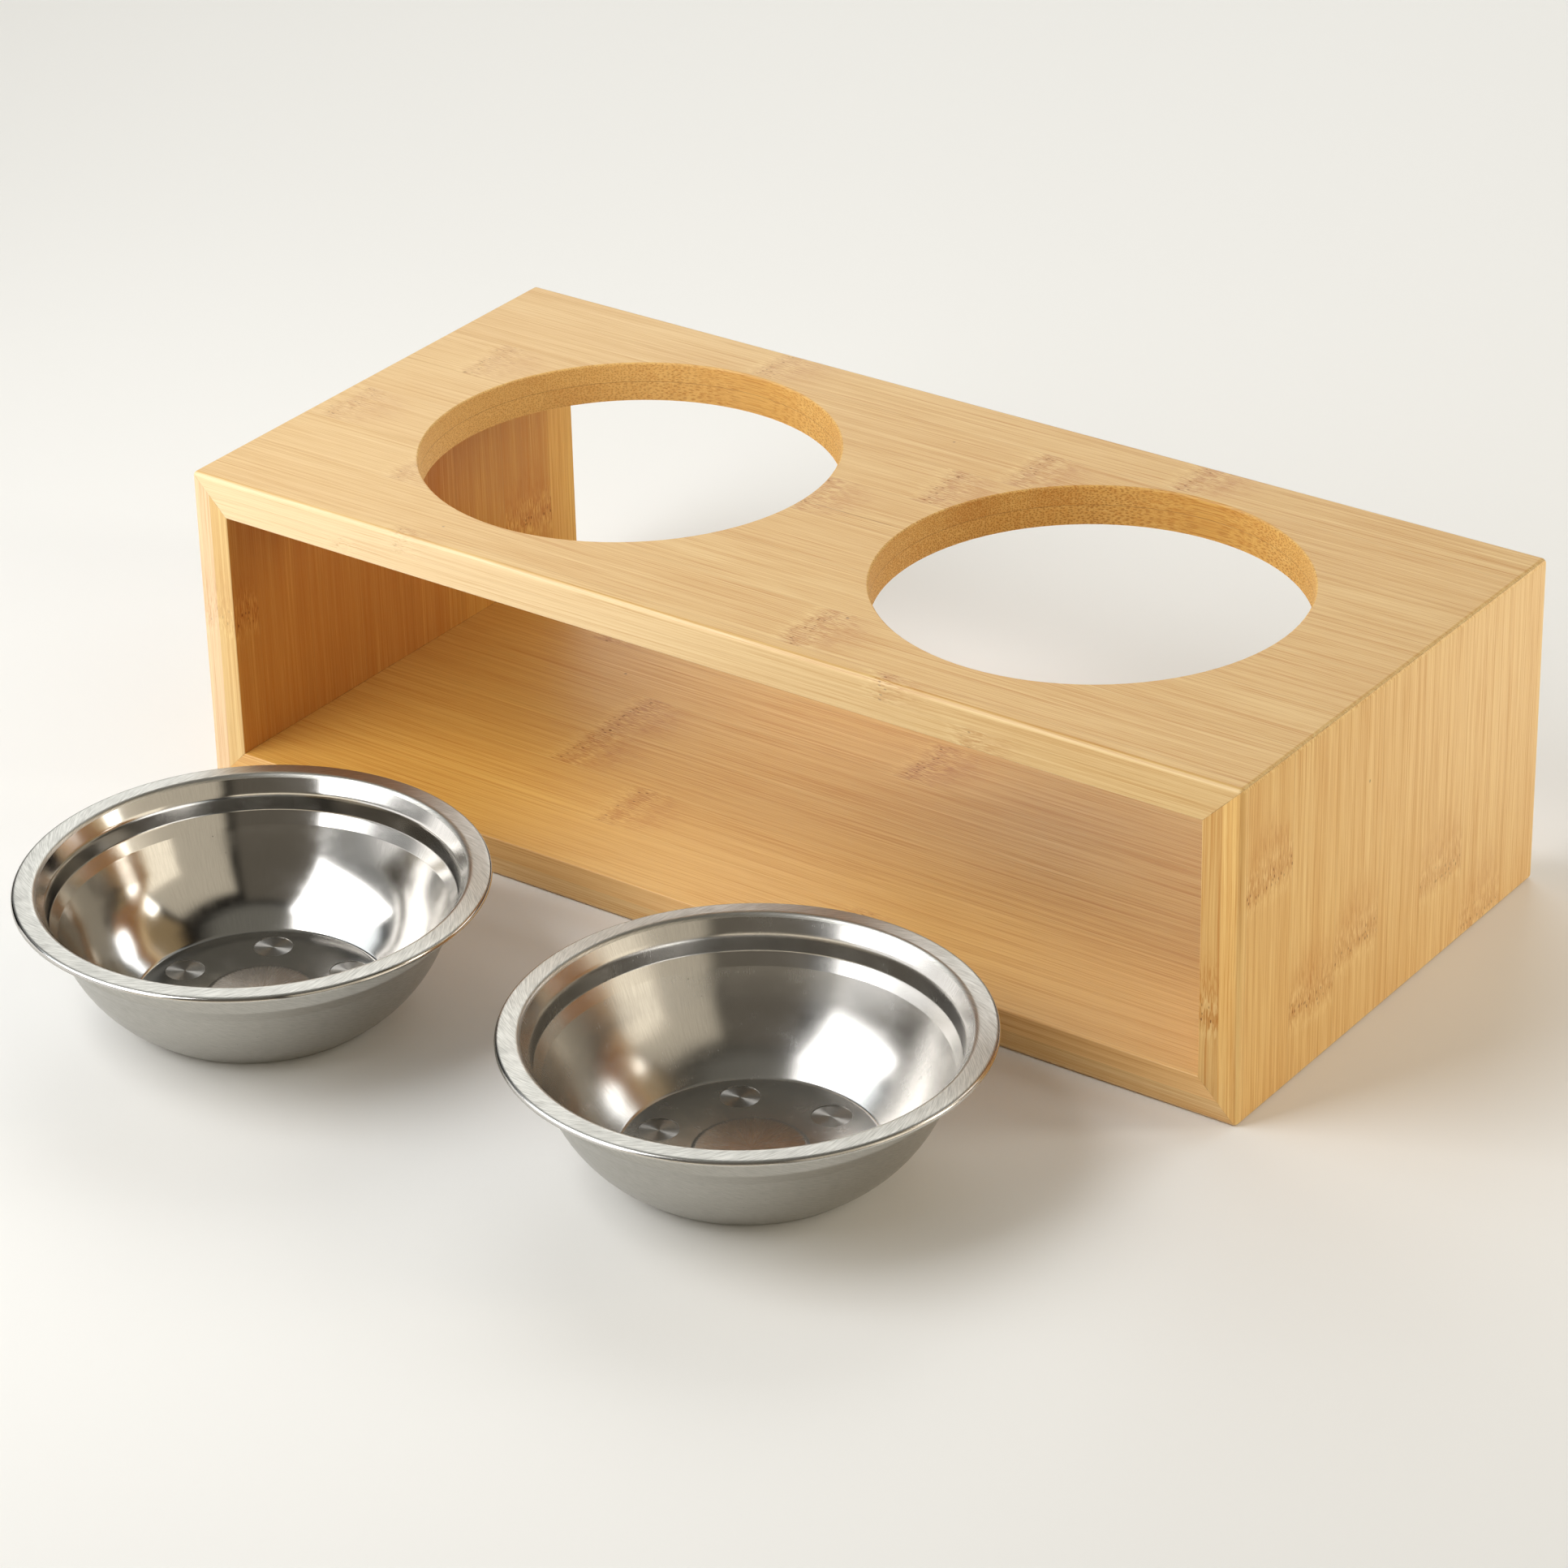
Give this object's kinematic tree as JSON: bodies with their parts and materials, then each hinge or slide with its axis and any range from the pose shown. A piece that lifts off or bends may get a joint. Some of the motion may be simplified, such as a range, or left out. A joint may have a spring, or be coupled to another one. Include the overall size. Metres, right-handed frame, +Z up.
{
  "type": "raised pet feeder",
  "caption": "Mitred bamboo box stand, open front and back for storage, its top bored for lift-out pressed steel pet bowls that stand on the floor in front.",
  "frame": {"origin": "middle of the stand's underside", "axes": "+Z up, +X along the stand's length, the open front and the bowls on the -Y side"},
  "size_m": [0.35, 0.314, 0.1],
  "materials": {
    "base_bamboo": "satin",
    "right_bamboo": "satin",
    "top_bamboo": "satin",
    "left_bamboo": "satin",
    "tongue_wood": "satin",
    "bowl_steel": "polished"
  },
  "bodies": {
    "stand": {"base_outer_ply": "base_bamboo", "base_inner_ply": "base_bamboo", "right_outer_ply": "right_bamboo", "right_inner_ply": "right_bamboo", "top_outer_ply": "top_bamboo", "top_inner_ply": "top_bamboo", "left_outer_ply": "left_bamboo", "left_inner_ply": "left_bamboo", "tongue_base_left_front": "tongue_wood", "tongue_base_left_middle": "tongue_wood", "tongue_base_left_back": "tongue_wood", "tongue_base_right_front": "tongue_wood", "tongue_base_right_middle": "tongue_wood", "tongue_base_right_back": "tongue_wood", "tongue_top_right_front": "tongue_wood", "tongue_top_right_middle": "tongue_wood", "tongue_top_right_back": "tongue_wood", "tongue_top_left_front": "tongue_wood", "tongue_top_left_middle": "tongue_wood", "tongue_top_left_back": "tongue_wood"},
    "bowl_left": {"bowl_left": "bowl_steel"},
    "bowl_right": {"bowl_right": "bowl_steel"}
  },
  "joints": [
    {"name": "left_bowl_lift", "type": "slide", "parent": "stand", "child": "bowl_left", "axis": [0, 0, 1], "range_m": [0, 0.12]},
    {"name": "right_bowl_lift", "type": "slide", "parent": "stand", "child": "bowl_right", "axis": [0, 0, 1], "range_m": [0, 0.12]}
  ]
}
